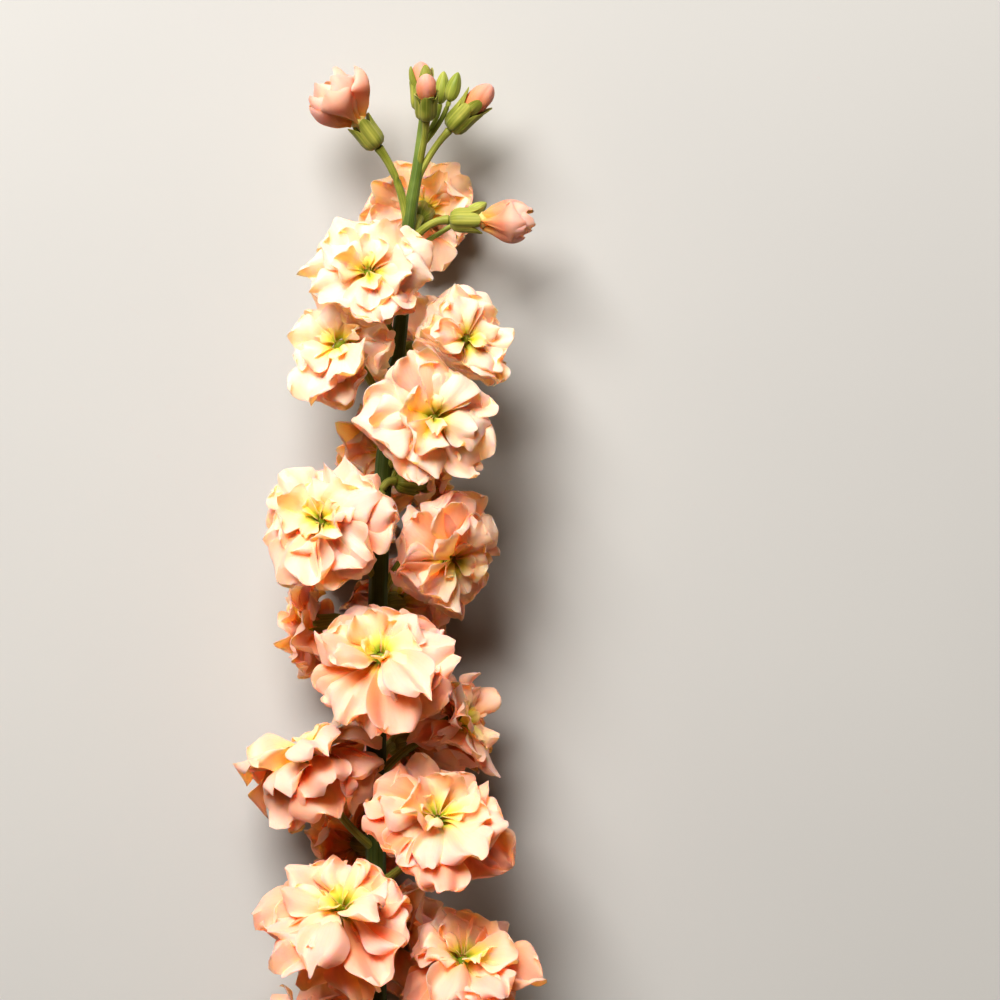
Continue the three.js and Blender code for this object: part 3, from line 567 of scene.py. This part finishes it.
def petal_sheets(stand, whorl):
    """The middle surfaces of one whorl's petals, as petals x rows x columns x 3, with s along and w across.

    The centre line starts near the bloom's axis, turns out to the lift and then curls. The half width
    goes from a narrow claw to a broad limb that is cut round at the tip, with a shallow notch and a waved
    edge. The sheet is cupped by the square of w, waved across, and ruffled and rolled back at its edge."""
    order, count, lift, reach, half, curl, cup, wave, layer, rise, hub = whorl
    count -= int(stand["youth"] > 0.5)
    half *= 1 + YOUNG_BREADTH * stand["youth"]
    k = np.arange(count)

    def draw(n):
        return chance(stand["seed"] + 17 * order, 10 * k + n)

    azimuth = stand["turn"] + 2 * np.pi * (k + 0.5 * order + 0.34 * (draw(1) - 0.5)) / count
    last_odd = (k == count - 1) & (count % 2 == 1)
    over = np.where(last_odd, 0, layer * np.where(k % 2 == 1, 1, -1))
    radial = stand["up"] * np.cos(azimuth)[:, None] + stand["side"] * np.sin(azimuth)[:, None]
    tangent = np.cross(stand["axis"], radial)
    outward = 1 + OUTER_GROWTH * radial[:, 2] * stand["axis"][2]
    stray = stand["open"] ** 1.5
    length = reach * stand["radius"] * (0.99 + 0.28 * stray * (draw(2) - 0.5)) * outward
    width = (half * stand["radius"] * (0.85 + 0.3 * draw(3)))[:, None, None]
    lifts = (lift + stand["fold"] * (1 - 0.4 * order) + over + 22 * (draw(4) - 0.5)) * stand["open"]
    curls = curl * (1 + 1.2 * stray * (draw(5) - 0.5))
    cups = (cup + 0.55 * stray * (draw(6) - 0.5))[:, None, None]
    phase = (2 * np.pi * draw(7))[:, None, None]

    steps = 24
    mid = (np.arange(1, steps + 1) - 0.5) / steps
    turns = np.radians(lifts[:, None] * (0.55 + 0.45 * smooth(mid / 0.5)) + curls[:, None] * mid**2)
    stride = length[:, None] / steps
    outs = hub + np.hstack([np.zeros((count, 1)), np.cumsum(stride * np.sin(turns), axis=1)])
    rises = FIRST_WHORL + rise + np.hstack([np.zeros((count, 1)), np.cumsum(stride * np.cos(turns), axis=1)])
    turns = np.hstack([turns[:, :1], turns])

    s = np.linspace(0, 1, PETAL_ROWS)[None, :, None]
    w = np.sin(np.linspace(-np.pi / 2, np.pi / 2, PETAL_COLS))[None, None, :]
    notch = 0.05 * (draw(8))[:, None, None] * np.exp(-((w / 0.22) ** 2))
    edge_wave = 0.025 * np.sin(7 * w + 3 * phase)
    far = s - w**2 * (0.11 * smooth((s - 0.4) / 0.6) + 0.12 * s**8) - s**5 * (notch + edge_wave)
    at = np.clip(far, 0, 1) * steps
    low = np.minimum(np.floor(at).astype(int), steps - 1)
    share = at - low
    row = np.arange(count)[:, None, None]

    def read(values):
        return values[row, low] * (1 - share) + values[row, low + 1] * share

    turn = read(turns)
    claw = 0.13 + 0.87 * smooth(far / 0.68)
    round_end = np.sqrt(1 - (0.87 * np.clip((s - 0.55) / 0.45, 0, 1)) ** 2)
    wide = width * claw * round_end * (1 + 0.04 * np.sin(11 * s + phase + 3 * w))
    rim = smooth((np.maximum(np.abs(w) ** 1.5 * smooth(s / 0.5), smooth((s - 0.45) / 0.55)) - 0.3) / 0.7)
    around = np.arctan2(w, 1.6 * (s - 0.4))
    ruffle = rim * (0.09 * np.sin(4 * around + 2 * phase) + 0.06 * np.sin(7 * around + 5 * phase))
    twist = 0.3 * (draw(9) - 0.5)[:, None, None] * w * s
    fold_depth = (0.8 * (draw(10) - 0.25))[:, None, None]
    crease = -fold_depth * np.exp(-np.abs(w - 0.25 * np.cos(phase)) / 0.3) * smooth(s / 0.25)
    crease = crease * (1 - 0.75 * smooth((s - 0.5) / 0.5))
    sway = 0.15 * np.sin(4.5 * far + 2 * phase) * smooth(s / 0.4)
    pleat = wave * far * (np.sin(4 * w + phase) + 0.35 * smooth(s / 0.8) * np.sin(8 * w + 2.3 * phase + 2 * s))
    raised = width * (cups * w**2 + pleat + stray * (ruffle + twist + crease + sway))
    height = read(rises) + np.sin(turn) * raised
    out = read(outs) - np.cos(turn) * raised
    points = stand["foot"] + height[..., None] * stand["axis"] + out[..., None] * radial[:, None, None, :]
    return points + (w * wide)[..., None] * tangent[:, None, None, :]


def closed_blades(sheets, thick):
    """Sheets of petals x rows x columns thickened to closed blades: both faces lie half the thickness along
    the sheet's normal, and quads join them round the edge. The blades thin out towards the rim."""
    count, rows, cols, _ = sheets.shape
    normal = unit(np.cross(np.gradient(sheets, axis=1), np.gradient(sheets, axis=2)))
    s = np.linspace(0, 1, rows)[:, None]
    w = np.linspace(-1, 1, cols)[None, :]
    thin = 1 - 0.45 * np.maximum(np.abs(w) ** 4, s**6)
    half = normal * (thick / 2 * thin)[None, ..., None]
    points = np.stack([sheets + half, sheets - half], axis=1).reshape(-1, 3)
    upper = grid_quads(rows, cols, False)[:, [0, 3, 2, 1]]
    lower = grid_quads(rows, cols, False) + rows * cols
    grid = np.arange(rows * cols).reshape(rows, cols)
    border = np.concatenate([grid[:-1, 0], grid[-1, :-1], grid[:0:-1, -1], grid[0, :0:-1]])
    after = np.roll(border, -1)
    rim = np.stack([after, border, border + rows * cols, after + rows * cols], axis=-1)
    one = np.vstack([upper, lower, rim])
    faces = (one[None] + (np.arange(count) * 2 * rows * cols)[:, None, None]).reshape(-1, 4)
    u = np.broadcast_to((w + 1) / 2, (rows, cols))
    v = np.broadcast_to(s, (rows, cols))
    uv = np.tile(np.stack([u, v], axis=-1).reshape(-1, 2), (2 * count, 1))
    return points, [faces], uv


def neck(stand):
    """The neck in the calyx and the small cone that the claws stand on: circles of set heights and radii."""
    heights = np.array([2.2, 5.0, 7.2, 8.0, 8.6, 9.4, 10.2])
    radii = np.array([1.1, 1.15, 1.2, 2.1, 2.1, 1.5, 0.8])
    grid = tube_grid(along(stand, heights), radii, 16)
    points, faces, uv = closed_tube(grid, along(stand, 1.9), along(stand, 10.5))
    return points, faces, uv * (1, 0.04)


def bloom_shape(stand, whorls):
    """All petals of a bloom and its neck, with three marks for each point. The tone's whole part is the order of
    its whorl in halves, and the fraction is the petal's own tone. The others are the distance from the eye,
    as a share of the bloom's radius, and the bloom's age."""
    parts = []
    tones = []
    for whorl in whorls:
        sheets = settle(petal_sheets(stand, whorl), stand, PETAL_THICK / 2 + 0.1)
        parts.append(closed_blades(sheets, PETAL_THICK))
        count = len(sheets)
        own = 2 * whorl[0] + 0.9 * chance(stand["seed"] + 31 * whorl[0], np.arange(count) + 0.5)
        tones.append(np.repeat(own, 2 * PETAL_ROWS * PETAL_COLS))
    parts.append(neck(stand))
    tones.append(np.full(len(parts[-1][0]), 5.0))
    shape = join(parts)
    from_eye = np.linalg.norm(shape[0] - along(stand, EYE_HEIGHT - 1), axis=1) / stand["radius"]
    age = np.full(len(shape[0]), stand["age"])
    return shape, {"tone": np.concatenate(tones), "from_eye": from_eye, "age": age}


# Fine veins that fan out along a petal or a leaf, from its uv.
veins, vein_nodes, vein_in, vein_out = new_group(
    "veins",
    [("Count", "NodeSocketFloat", 26.0), ("Fan", "NodeSocketFloat", 0.5)],
    [("Mask", "NodeSocketFloat"), ("Across", "NodeSocketFloat"), ("Along", "NodeSocketFloat")],
)
vein_uv = vein_nodes.add("UVMap", uv_map="sheet").outputs[0]
vein_split = vein_nodes.add("SeparateXYZ", {0: vein_uv})
vein_across = vein_nodes.math("SUBTRACT", vein_nodes.math("MULTIPLY", vein_split.outputs[0], 2.0), 1.0)
vein_bend = vein_nodes.noise(vein_uv, 7.0)
vein_lines = vein_nodes.math("MULTIPLY", vein_across, vein_in.outputs["Count"])
vein_lines = vein_nodes.math("ADD", vein_lines, vein_nodes.math("MULTIPLY", vein_bend, 2.5))
vein_lines = vein_nodes.math(
    "ADD", vein_lines, vein_nodes.math("MULTIPLY", vein_split.outputs[1], vein_in.outputs["Fan"])
)
vein_wave = vein_nodes.math("ABSOLUTE", vein_nodes.math("SINE", vein_lines))
vein_nodes.feed(vein_out.inputs["Mask"], vein_nodes.span(vein_wave, 0.6, 0.0))
vein_nodes.feed(vein_out.inputs["Across"], vein_nodes.math("ABSOLUTE", vein_across))
vein_nodes.feed(vein_out.inputs["Along"], vein_split.outputs[1])


def petal_material(name, stops, age_and_shade_tint, blush, light_through):
    """A petal's colour goes by stops of the distance from the eye. With age the ends are multiplied by a deeper
    colour, and so are the outer whorls, where it is partly painted shade for the whorls above them. Towards the
    claws the outer whorls of older blooms take painted shade in orange. The edges turn to a blush, with darker veins
    and soft blotches, and light shines a little way through."""
    material, nodes, skin = new_material(name)
    vein = nodes.add("Group", {"Count": 30.0, "Fan": 3.0}, node_tree=veins)
    mask, across, far = vein.outputs
    place_here = nodes.add("TexCoord").outputs["Object"]
    blotch = nodes.noise(place_here, 220.0)
    tone = nodes.add("Attribute", attribute_name="tone").outputs["Fac"]
    from_eye = nodes.add("Attribute", attribute_name="from_eye").outputs["Fac"]
    own = nodes.math("FRACT", tone)
    shift = nodes.math("MULTIPLY", nodes.math("SUBTRACT", blotch, 0.5), 0.3)
    shift = nodes.math("ADD", shift, nodes.math("MULTIPLY", nodes.math("SUBTRACT", own, 0.5), 0.12))
    shift = nodes.math("MULTIPLY", shift, nodes.span(from_eye, 0.1, 0.5))
    base = nodes.ramp(nodes.math("ADD", from_eye, shift), stops)
    age = nodes.add("Attribute", attribute_name="age").outputs["Fac"]
    youth = nodes.math("MULTIPLY", nodes.span(age, 0.5, 0.0, 0.0, 0.6), nodes.span(from_eye, 0.25, 0.6))
    base = nodes.mix(youth, base, colour(254, 239, 222))
    # A deeper colour with age: on the ends it is the older petals' own; on the outer whorls, under the others, it is
    # partly painted shade.
    deep = nodes.math("ADD", nodes.span(tone, 0.5, 2.6, 0.5, 0.0), nodes.span(from_eye, 0.3, 0.9, 0.0, 0.2))
    deep = nodes.math("MULTIPLY", deep, nodes.span(age, -0.3, 1.0))
    base = nodes.mix(deep, base, nodes.mix(1.0, base, age_and_shade_tint, "MULTIPLY"))
    # Painted shade: the outer whorls of older blooms turn orange towards their claws, where the whorls above shade
    # them.
    painted_recess_shade = nodes.math("MULTIPLY", nodes.span(tone, 1.4, 3.2, 0.8, 0.0), nodes.span(far, 0.85, 0.3))
    painted_recess_shade = nodes.math("MULTIPLY", painted_recess_shade, nodes.span(age, -0.2, 0.8))
    base = nodes.mix(painted_recess_shade, base, nodes.mix(1.0, base, (0.95, 0.56, 0.28, 1.0), "MULTIPLY"))
    edge = nodes.math("MAXIMUM", nodes.span(across, 0.55, 1.0), nodes.span(far, 0.72, 1.0))
    edge = nodes.math("MULTIPLY", edge, nodes.span(own, 0.0, 0.9, 0.15, 0.7))
    base = nodes.mix(edge, base, blush)
    lines = nodes.math("MULTIPLY", mask, nodes.span(far, 1.0, 0.2, 0.02, 0.12))
    base = nodes.mix(lines, base, nodes.mix(1.0, base, (0.95, 0.72, 0.5, 1.0), "MULTIPLY"))
    nodes.feed(skin.inputs["Base Color"], base)
    nodes.feed(skin.inputs["Roughness"], nodes.span(blotch, 0.3, 0.7, 0.5, 0.66))
    crinkle = nodes.noise(place_here, 1400.0, 3.0)
    relief = nodes.math("SUBTRACT", nodes.math("MULTIPLY", crinkle, 0.6), nodes.math("MULTIPLY", mask, 0.12))
    bump = nodes.add("Bump", {"Height": relief, "Strength": 0.35, "Distance": 0.00025})
    nodes.feed(skin.inputs["Normal"], bump.outputs[0])
    skin.inputs["Sheen Weight"].default_value = 0.15
    skin.subsurface_method = "BURLEY"
    skin.inputs["Subsurface Weight"].default_value = light_through
    skin.inputs["Subsurface Radius"].default_value = (4.0, 1.3, 0.25)
    skin.inputs["Subsurface Scale"].default_value = MM
    skin.inputs["Specular IOR Level"].default_value = 0.35
    return material


peach_petal = petal_material(
    "peach_petal",
    [
        (0.0, colour(84, 120, 20)),
        (0.13, colour(154, 178, 46)),
        (0.21, colour(228, 222, 108)),
        (0.34, colour(252, 227, 188)),
        (0.6, colour(252, 221, 206)),
        (1.0, colour(252, 209, 200)),
    ],
    # the deeper tint of age, partly painted shade on the outer whorls
    (0.98, 0.76, 0.62, 1.0),
    colour(250, 204, 192),
    0.75,
)
for stand in stands:
    if stand["open"] == 1.0:
        shape, marks = bloom_shape(stand, WHORLS)
        make_piece(stand["name"] + "_petals", shape, peach_petal, stand["name"], marks)


# The half-open blooms
# Two young blooms near the tip, whose petals still stand cupped together, coral outside and cream inside.

coral_petal = petal_material(
    "coral_petal",
    [
        (0.0, colour(190, 190, 80)),
        (0.25, colour(250, 222, 160)),
        (0.5, colour(251, 212, 190)),
        (0.75, colour(249, 194, 178)),
        (1.0, colour(252, 218, 206)),
    ],
    # the deeper tint of age, partly painted shade on the outer whorls
    (0.98, 0.74, 0.6, 1.0),
    colour(248, 184, 170),
    0.5,
)
for stand in stands:
    if stand["open"] < 1.0:
        shape, marks = bloom_shape(stand, HALF_OPEN_WHORLS)
        make_piece(stand["name"] + "_petals", shape, coral_petal, stand["name"], marks)


# The closed buds
# Petals still wrapped round each other in a blunt drop, whose coloured point stands out of the calyx.


def bud_radius(heights):
    """The radius of the drop at heights in its own units, read off a profile that rounds over at the top."""
    return np.interp(
        heights,
        [2.4, 5.0, 6.0, 7.0, 8.0, 9.2, 10.2, 11.2, 11.9, 12.3],
        [1.0, 1.2, 1.7, 2.2, 2.45, 2.5, 2.35, 1.85, 1.2, 0.55],
    )


def bud_point(stand, radius, length):
    """A blunt drop in rings, stretched to its length above the calyx, with five folds that wind round towards
    the tip."""
    size = radius / FULL_CALYX
    turn = np.linspace(0, 2 * np.pi, 60, endpoint=False)[None, :]
    own = np.array([2.4, 4.0, 5.0, 6.0, 7.0, 8.0, 8.8, 9.6, 10.3, 10.9, 11.4, 11.8, 12.1, 12.3])[:, None]
    heights = np.where(own > 8, 8 + (own - 8) * length * 0.65 / 4.3, own)
    fold = np.abs(np.sin(2.5 * turn + 0.45 * own)) ** 0.6
    wide = bud_radius(own) * (0.86 + 0.14 * fold)
    radial = stand["up"] * np.cos(turn)[..., None] + stand["side"] * np.sin(turn)[..., None]
    grid = along(stand, heights * size) + radial * (wide * size)[..., None]
    return closed_tube(grid, along(stand, 1.9 * size), along(stand, (8.1 + 0.65 * length) * size))


def bud_sepals(stand, radius, length, cover, rows=22, cols=13):
    """Four pointed sepals pressed to the drop. Each reaches up a share of it and narrows as the root of what
    is left, and its tip bends out a little."""
    size = radius / FULL_CALYX
    top = 8 + 4.3 * cover
    s = np.linspace(0, 1, rows)[:, None]
    w = np.linspace(-1, 1, cols)[None, :]
    own = 3 + (top - 3) * s
    heights = np.where(own > 8, 8 + (own - 8) * length * 0.65 / 4.3, own)
    half_turn = np.radians(47) * np.sqrt(1.02 - s**1.5)
    sheets = []
    for quarter in range(4):
        turn = np.pi / 2 * quarter + 0.4 + w * half_turn
        radial = stand["up"] * np.cos(turn)[..., None] + stand["side"] * np.sin(turn)[..., None]
        ridge = 0.3 * np.exp(-((w / 0.3) ** 2)) * (1 - s**3)
        wide = np.maximum(bud_radius(own), 1.2) + 0.3 + ridge + 0.5 * s**6
        sheets.append(along(stand, heights * size + 0 * w) + radial * (wide * size)[..., None])
    return closed_blades(np.array(sheets)[:, :, ::-1], 0.3)


BUD_AGE = 0.8
for name, (pixel, front, faces, radius, length, _) in TIP_BUDS.items():
    stand = stand_at(pixel, front, faces, False)
    shape = bud_point(stand, radius, length)
    marks = {"tone": np.full(len(shape[0]), 0.6), "from_eye": 0.35 + 0.5 * shape[2][:, 1]}
    marks["age"] = np.full(len(shape[0]), BUD_AGE)
    make_piece(name + "_point", shape, coral_petal, name, marks)
    make_piece(name + "_sepals", bud_sepals(stand, radius, length, SEPAL_COVER[name]), sepal_green, "stem")


# The small green buds
# The youngest buds of the tip, still shut in four pale-edged sepals on thin stalks.


def green_bud(stand, radius, length, drop):
    """A stalk run into a long egg of rings, with four grooves between the sepals that fade at the ends."""
    line = stalk_line(stand, drop)
    stalk = closed_tube(tube_grid(line, np.full(len(line), 0.6), 12), line[0], along(stand, 0.2))
    turn = np.linspace(0, 2 * np.pi, 32, endpoint=False)[None, :]
    share = np.linspace(0.02, 0.97, 14)[:, None]
    wide = radius * np.sin(np.pi * share**0.8) ** 0.6 * (1 - 0.1 * np.abs(np.sin(2 * turn)) ** 5)
    radial = stand["up"] * np.cos(turn)[..., None] + stand["side"] * np.sin(turn)[..., None]
    grid = along(stand, share * length + 0 * turn) + radial * wide[..., None]
    return join([stalk, closed_tube(grid, along(stand, 0), along(stand, length))])


bud_green = green_material("bud_green", colour(140, 158, 60), colour(216, 214, 122), 12.0, 0.5, 0.2)
for name, (pixel, front, faces, radius, length, drop) in GREEN_BUDS.items():
    shape = green_bud(stand_at(pixel, front, faces, False), radius, length, drop)
    make_piece(name, shape, bud_green, "stem")


# The leaves
# Long lance-shaped leaves of the lower stem, grey green with fine down, a pale midrib and gently waved
# edges. Each grew from the stem and arches away from it.

LEAF_THICK = 0.45
CAD_LEAF_THICK = 1.0

# Pixel height on the stem, side it leaves on in degrees, length, half width and lean.
LEAVES = {
    "leaf_1": (1284, 14, 62, 6.5, 34),
    "leaf_2": (1345, 152, 72, 7.5, 36),
    "leaf_3": (1440, 75, 66, 7, 30),
    "leaf_4": (1535, 8, 82, 8.5, 38),
    "leaf_5": (1640, 168, 86, 9, 36),
    "leaf_6": (1745, 40, 78, 8.5, 34),
}


def leaf_sheet(pixel_y, side, length, half, lean, rows=60, cols=21):
    """A leaf's middle surface. Its line leans out more and more, its half width goes as a skewed sine, and
    it is folded up along the midrib, waved, and grooved by the midrib and side veins."""
    point, radius = stem_at(place((0, pixel_y), 0)[1])
    out = np.array([np.cos(np.radians(side)), 0, np.sin(np.radians(side))])
    flat = unit(np.cross(UP_STEM, out))
    root = point + out * (radius + CLEARANCE)
    s = np.linspace(0, 1, rows)[:, None]
    w = np.linspace(-1, 1, cols)[None, :]
    angle = np.radians(lean) * (0.55 + 0.75 * s)
    shape = np.maximum(np.sin(np.pi * s**0.8 * 0.93 + 0.05), 0) ** 0.9
    wide = half * (0.16 + 0.84 * shape) * (1 + 0.03 * np.sin(26 * s + 3 * w))
    fold = wide * (0.28 * w**2 + 0.12 * np.sin(9 * s + 2.2 * w)) * smooth(s / 0.2)
    ribs = 0.12 * np.abs(np.sin(13 * np.pi * (s + 0.12 * np.abs(w)))) ** 0.5 * (1 - np.abs(w)) * smooth(s / 0.1)
    groove = 0.3 * np.exp(-((w / 0.09) ** 2)) * (1 - s)
    lift = (fold + ribs - groove)[..., None]
    inward = np.sin(angle)[..., None] * UP_STEM - np.cos(angle)[..., None] * out
    centre = root + length * (s * np.cos(angle))[..., None] * UP_STEM + length * (s * np.sin(angle))[..., None] * out
    points = centre + lift * inward + (w * wide)[..., None] * flat
    points[..., 2] = -ease(-points[..., 2], -LEAF_THICK / 2 - 0.1, FLOOR_SOFTNESS)
    return points[None]


def leaf_material():
    """The green rind with a pale midrib and side veins from the leaf's uv."""
    material, nodes, skin = new_material("leaf_green")
    skin_rind = nodes.add("Group", node_tree=rind)
    greens = (("Deep", colour(104, 128, 88)), ("Pale", colour(150, 168, 128)), ("Fibre scale", 30.0), ("Down", 0.8))
    for socket, value in greens:
        skin_rind.inputs[socket].default_value = value
    vein = nodes.add("Group", {"Count": 7.0, "Fan": 42.0}, node_tree=veins)
    mask, across, far = vein.outputs
    midrib = nodes.span(across, 0.12, 0.03)
    pale = nodes.math("MAXIMUM", midrib, nodes.math("MULTIPLY", mask, 0.12))
    nodes.feed(skin.inputs["Base Color"], nodes.mix(pale, skin_rind.outputs["Color"], colour(184, 196, 150)))
    nodes.feed(skin.inputs["Roughness"], skin_rind.outputs["Roughness"])
    nodes.feed(skin.inputs["Normal"], skin_rind.outputs["Normal"])
    skin.inputs["Sheen Weight"].default_value = 0.35
    skin.inputs["Subsurface Weight"].default_value = 0.1
    skin.inputs["Subsurface Radius"].default_value = (0.5, 1.0, 0.3)
    skin.inputs["Subsurface Scale"].default_value = MM
    return material


leaf_green = leaf_material()
for name, row in LEAVES.items():
    shape = closed_blades(leaf_sheet(*row), LEAF_THICK)
    make_piece(name + "_blade", shape, leaf_green, name)


# The table and the light
# A plain pale table top under a broad soft light from the upper left, with a weak fill from the right.

floor_mesh = bpy.data.meshes.new("table")
floor_mesh.from_pydata([(-3, -3, 0), (3, -3, 0), (3, 3, 0), (-3, 3, 0)], [], [(0, 1, 2, 3)])
floor = bpy.data.objects.new("table", floor_mesh)
bpy.context.scene.collection.objects.link(floor)
table_paint, table_nodes, table_skin = new_material("table_paint")
table_mottle = table_nodes.noise(table_nodes.add("TexCoord").outputs["Object"], 9.0)
table_nodes.feed(table_skin.inputs["Base Color"], table_nodes.mix(table_mottle, colour(216, 215, 213), colour(222, 221, 218)))
table_skin.inputs["Roughness"].default_value = 0.8
floor_mesh.materials.append(table_paint)
floor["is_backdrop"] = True


def area_light(name, spot, target, size, power, tint):
    """A square area light at a spot, turned to face its target."""
    light = bpy.data.lights.new(name, "AREA")
    light.size = size
    light.energy = power
    light.color = tint
    lamp = bpy.data.objects.new(name, light)
    lamp.location = spot
    lamp.rotation_euler = (Vector(target) - Vector(spot)).to_track_quat("-Z", "Y").to_euler()
    bpy.context.scene.collection.objects.link(lamp)


MIDDLE = ((500 - AXIS_PIXEL[0]) * MM_PER_PIXEL * MM, (AXIS_PIXEL[1] - 500) * MM_PER_PIXEL * MM, AXIS_HEIGHT * MM)
area_light("key", (-0.35, 0.95, 1.05), MIDDLE, 0.8, 48.0, (1.0, 0.98, 0.95))
area_light("fill", (1.0, -0.3, 1.0), MIDDLE, 1.2, 1.0, (1.0, 0.68, 0.4))
world = bpy.data.worlds.new("room")
world.use_nodes = True
world.node_tree.nodes["Background"].inputs[0].default_value = (1.0, 0.76, 0.52, 1.0)
world.node_tree.nodes["Background"].inputs[1].default_value = 0.045
bpy.context.scene.world = world
view = bpy.context.scene.view_settings
view.view_transform = "Standard"
view.look = "High Contrast"
view.exposure = -1.27


# The camera
# It looks straight down on the spike from far off, so that the picture is as flat as the photograph and
# shows the same field.

CAMERA_HEIGHT = 2.4
FIELD = 1000 * MM_PER_PIXEL * MM
camera_data = bpy.data.cameras.new("camera")
camera_data.sensor_width = 36
camera_data.lens = 36 * CAMERA_HEIGHT / FIELD
camera = bpy.data.objects.new("camera", camera_data)
camera.location = (MIDDLE[0] - FRAME_ORIGIN[0] * MM, MIDDLE[1] - FRAME_ORIGIN[1] * MM, MIDDLE[2] + CAMERA_HEIGHT)
bpy.context.scene.collection.objects.link(camera)
bpy.context.scene.camera = camera


size = {"cad": [list(corner) for corner in cad_box], "visual": [list(corner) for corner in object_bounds()]}
